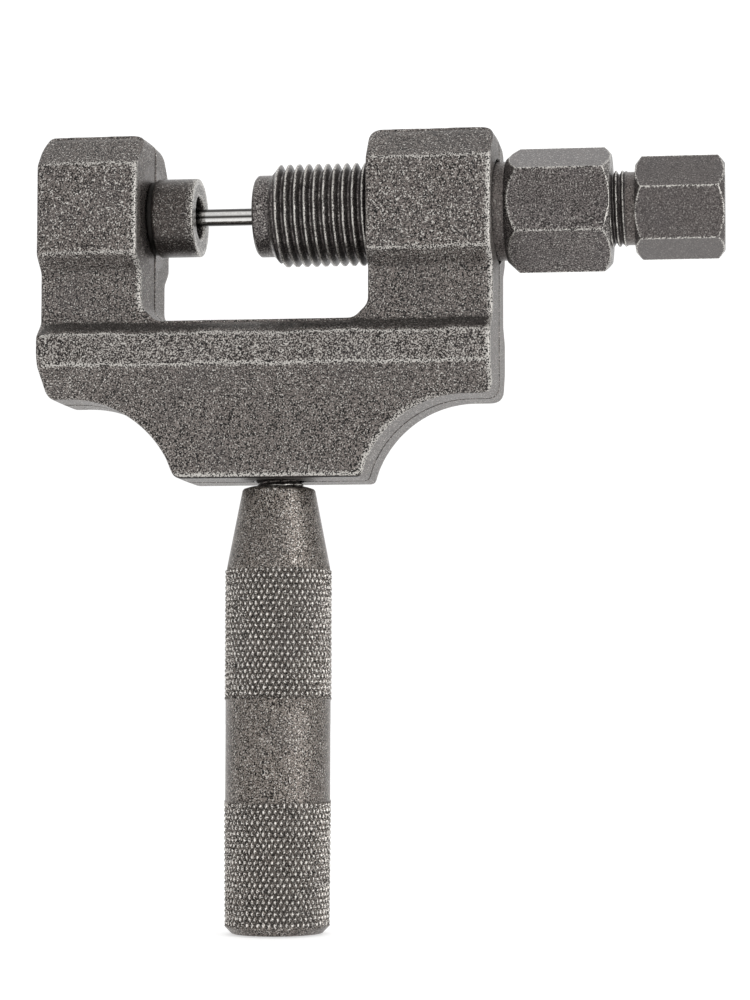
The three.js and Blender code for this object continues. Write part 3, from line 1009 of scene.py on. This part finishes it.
def steel(name, base, grain_mm, dark, light, glint, bump, roughness, metallic, marking=WEAR_AND_HIGHLIGHT_COLOUR):
    """Steel with a speckled grain, cloudy tone, bright rubbed edges and dark grooves.

    dark and light are the speckles' tones as shares of the base colour. glint is how bright the
    scattered specks are: painted glints. Relief adds painted highlights and painted shade.
    """
    material = bpy.data.materials.new(name)
    material.use_nodes = True
    shader = material.node_tree.nodes["Principled BSDF"]
    nodes = Nodes(material.node_tree)
    fine = nodes.grain(grain_mm, 0)
    medium = nodes.grain(grain_mm * 5, 2)
    cloud = nodes.grain(9, 2)
    specks = nodes.grain(grain_mm * 1.1, 0, 7.3)
    mixed = nodes.math("ADD", nodes.math("MULTIPLY", fine, 0.85), nodes.math("MULTIPLY", medium, 0.15))

    tone = nodes.spread(mixed, 0.38, 0.62, 0, 1)
    colour = nodes.blend(tone, tuple(c * dark for c in base), tuple(c * light for c in base))
    cool = tuple(c * k for c, k in zip(base, (0.93, 0.97, 1.05)))
    colour = nodes.blend(nodes.spread(cloud, 0.45, 0.7, 0, 0.3), colour, cool)
    # The scattered specks are painted glints.
    colour = nodes.blend(nodes.spread(specks, 0.64, 0.74, 0, glint), colour, marking)

    attribute = nodes.add("Attribute")
    attribute.attribute_name = "relief"
    relief = attribute.outputs["Fac"]
    broken = nodes.math("ADD", relief, nodes.spread(mixed, 0.34, 0.66, -0.26, 0.2))
    wear_and_highlight = nodes.spread(broken, 0.7, 0.95, 0, 1)
    # Bright where worn and where highlights are painted; dark where shade and dark reflections are painted.
    colour = nodes.blend(wear_and_highlight, colour, marking)
    colour = nodes.blend(nodes.spread(relief, 0.45, 0.05, 0, 0.95), colour, PAINTED_DARK)

    matt = nodes.spread(fine, 0.35, 0.65, roughness - 0.08, roughness + 0.08)
    polished = nodes.math("MULTIPLY", wear_and_highlight, -0.1)
    bumps = nodes.add("Bump")
    bumps.inputs["Strength"].default_value = bump
    bumps.inputs["Distance"].default_value = grain_mm * 0.3 * MM
    nodes.feed(bumps.inputs["Height"], mixed)
    nodes.feed(shader.inputs["Base Color"], colour)
    nodes.feed(shader.inputs["Roughness"], nodes.math("ADD", matt, polished))
    nodes.feed(shader.inputs["Normal"], bumps.outputs[0])
    shader.inputs["Metallic"].default_value = metallic
    return material


def make_materials():
    warm = (0.079, 0.069, 0.0635)
    dull = (0.086, 0.076, 0.073)
    turned = (0.1, 0.087, 0.081)
    black = (0.056, 0.048, 0.044)
    tan = (0.112, 0.098, 0.087)
    bright = (0.72, 0.71, 0.69)
    grey = (0.4, 0.39, 0.38)
    # tip is the knurl tips' bright colour: rubbed tips and painted highlight.
    tip = (0.75, 0.72, 0.68)
    columns = ("grain_mm", "dark", "light", "glint", "bump", "roughness", "metallic")
    looks = {
        "forged": ("forged_steel", warm, (0.2, 0.05, 2.4, 1.0, 1.0, 0.44, 0.6), WEAR_AND_HIGHLIGHT_COLOUR),
        "machined": ("machined_steel", turned, (0.24, 0.5, 1.5, 0.3, 0.3, 0.34, 0.8), WEAR_AND_HIGHLIGHT_COLOUR),
        "sleeve": ("sleeve_steel", black, (0.2, 0.35, 1.7, 0.5, 0.4, 0.36, 0.75), WEAR_AND_HIGHLIGHT_COLOUR),
        "outer": ("outer_bolt_steel", dull, (0.2, 0.25, 1.9, 0.7, 0.5, 0.38, 0.75), WEAR_AND_HIGHLIGHT_COLOUR),
        "inner": ("inner_bolt_steel", dull, (0.2, 0.6, 1.45, 0.3, 0.4, 0.38, 0.75), WEAR_AND_HIGHLIGHT_COLOUR),
        "handle": ("knurled_steel", tan, (0.2, 0.05, 2.1, 0.6, 0.45, 0.36, 0.8), tip),
        "pin": ("ground_steel", bright, (0.3, 0.95, 1.05, 0.1, 0.05, 0.12, 1.0), WEAR_AND_HIGHLIGHT_COLOUR),
        "spring": ("spring_steel", grey, (0.3, 0.85, 1.15, 0.2, 0.2, 0.3, 1.0), WEAR_AND_HIGHLIGHT_COLOUR),
    }
    made = {}
    for key, (name, base, values, marking) in looks.items():
        made[key] = steel(name, base, marking=marking, **dict(zip(columns, values)))
    return made


# ---- Scene ---------------------------------------------------------------------------------------

bpy.context.scene.view_settings.view_transform = "Standard"
add_camera()
add_world()
add_floor()

steels = make_materials()
add_frame(steels["forged"], steels["machined"])
add_anvil(steels["sleeve"])
add_outer_bolt(steels["outer"], steels["machined"])
add_inner_bolt(steels["inner"], steels["machined"])
add_pin(steels["pin"])
add_spring(steels["spring"])
add_stud(steels["machined"])
add_handle(steels["handle"])
